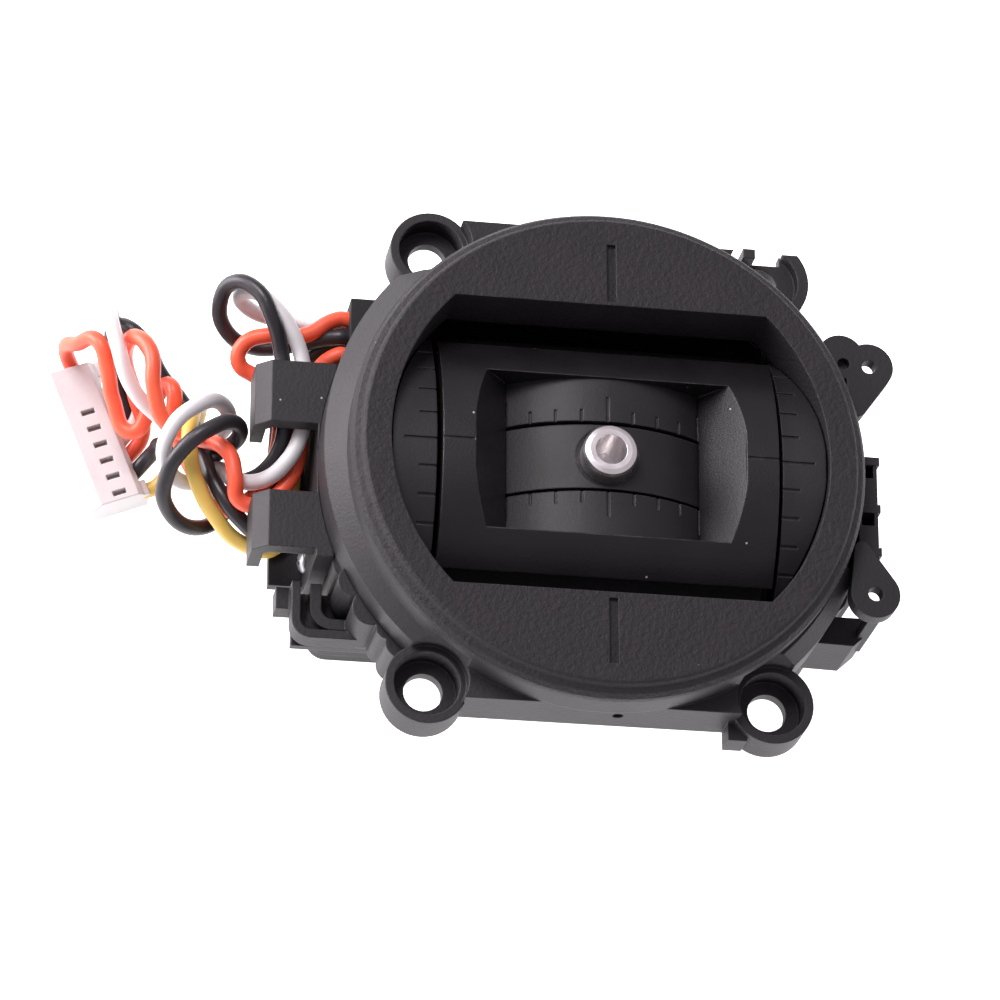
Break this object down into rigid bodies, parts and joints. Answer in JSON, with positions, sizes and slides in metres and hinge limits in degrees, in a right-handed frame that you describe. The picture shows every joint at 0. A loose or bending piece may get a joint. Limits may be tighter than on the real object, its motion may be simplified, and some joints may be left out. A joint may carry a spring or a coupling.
{
  "type": "two-axis stick gimbal module",
  "caption": "Round-faced two-axis stick gimbal module with spring-centred pitch and roll yokes, magnetic angle sensors, four mounting ears and a six-wire lead with a connector.",
  "frame": {"origin": "centre of the four ears' hole pattern, on the ears' rear seating plane", "axes": "+Z is the stick's axis at rest and the front face's normal, +Y is up, +X is to the right when facing the stick"},
  "size_m": [0.0672, 0.0436, 0.0269],
  "materials": {
    "face_plastic": "finely textured charcoal",
    "body_plastic": "satin charcoal",
    "scale_plastic": "satin charcoal",
    "yoke_plastic": "smooth satin black",
    "cam_plastic": "natural acetal",
    "bronze": "sintered",
    "screw_steel": "zinc plated",
    "pin_steel": "ground",
    "spring_steel": "drawn wire",
    "magnet_metal": "nickel plated",
    "stub_metal": "turned",
    "board": "solder mask",
    "chip": "moulded",
    "outlet_rubber": "matt",
    "wire_red": "soft satin",
    "wire_black": "soft satin",
    "wire_white": "soft satin",
    "wire_yellow": "soft satin",
    "plug_plastic": "natural nylon",
    "contact_metal": "tin plated"
  },
  "bodies": {
    "base": {"front_bezel": "face_plastic", "housing": "body_plastic", "back_cover": "body_plastic", "back_cover_screws": "screw_steel", "pitch_scale_left": "scale_plastic", "pitch_scale_right": "scale_plastic", "pitch_bush_left": "bronze", "pitch_bush_right": "bronze", "cable_guide": "body_plastic", "guide_screws": "screw_steel", "side_bracket": "body_plastic", "left_bracket": "body_plastic", "wire_outlet": "outlet_rubber", "pitch_sensor_cover": "body_plastic", "pitch_sensor_board": "board", "pitch_sensor_chip": "chip", "pitch_lever_pin": "pin_steel", "pitch_spring": "spring_steel", "tension_nut": "bronze", "wire_red_a": "wire_red", "wire_red_b": "wire_red", "wire_black_a": "wire_black", "wire_black_b": "wire_black", "wire_white": "wire_white", "wire_yellow": "wire_yellow", "connector_shell": "plug_plastic", "connector_contacts": "contact_metal"},
    "pitch_lever": {"pitch_lever": "cam_plastic"},
    "tension_screw": {"tension_screw": "screw_steel"},
    "yoke": {"pitch_yoke": "yoke_plastic", "roll_scale_upper": "scale_plastic", "roll_scale_lower": "scale_plastic", "pitch_pin_left": "pin_steel", "pitch_pin_right": "pin_steel", "pitch_cam": "cam_plastic", "pitch_magnet": "magnet_metal", "roll_bush_upper": "bronze", "roll_bush_lower": "bronze", "roll_sensor_board": "board", "roll_sensor_chip": "chip", "roll_board_screws": "screw_steel", "roll_lever_pin": "pin_steel", "roll_spring": "spring_steel"},
    "roll_lever": {"roll_lever": "cam_plastic"},
    "stick": {"stick_carrier": "yoke_plastic", "roll_shaft": "pin_steel", "stick_stub": "stub_metal", "roll_magnet": "magnet_metal", "roll_cam": "cam_plastic"}
  },
  "joints": [
    {"name": "pitch_tilt", "type": "hinge", "parent": "base", "child": "yoke", "pos_m": [0, 0, -0.0063], "axis": [1, 0, 0], "range_deg": [-25, 25], "stiffness_Nm_per_rad": 0.012},
    {"name": "roll_tilt", "type": "hinge", "parent": "yoke", "child": "stick", "pos_m": [0, 0, -0.0063], "axis": [0, 1, 0], "range_deg": [-25, 25], "stiffness_Nm_per_rad": 0.012},
    {"name": "pitch_lever_lift", "type": "hinge", "parent": "base", "child": "pitch_lever", "pos_m": [-0.0179, -0.0064, -0.0011], "axis": [1, 0, 0], "range_deg": [0, 7], "stiffness_Nm_per_rad": 0.02, "deforming": ["pitch_spring"]},
    {"name": "roll_lever_lift", "type": "hinge", "parent": "yoke", "child": "roll_lever", "pos_m": [-0.0064, -0.0093, -0.0011], "axis": [0, -1, 0], "range_deg": [0, 5], "stiffness_Nm_per_rad": 0.02, "deforming": ["roll_spring"]},
    {"name": "tension_screw_turn", "type": "hinge", "parent": "base", "child": "tension_screw", "pos_m": [-0.0179, 0.0066, -0.0165], "axis": [0, 0, 1], "range_deg": [-360, 360]}
  ]
}
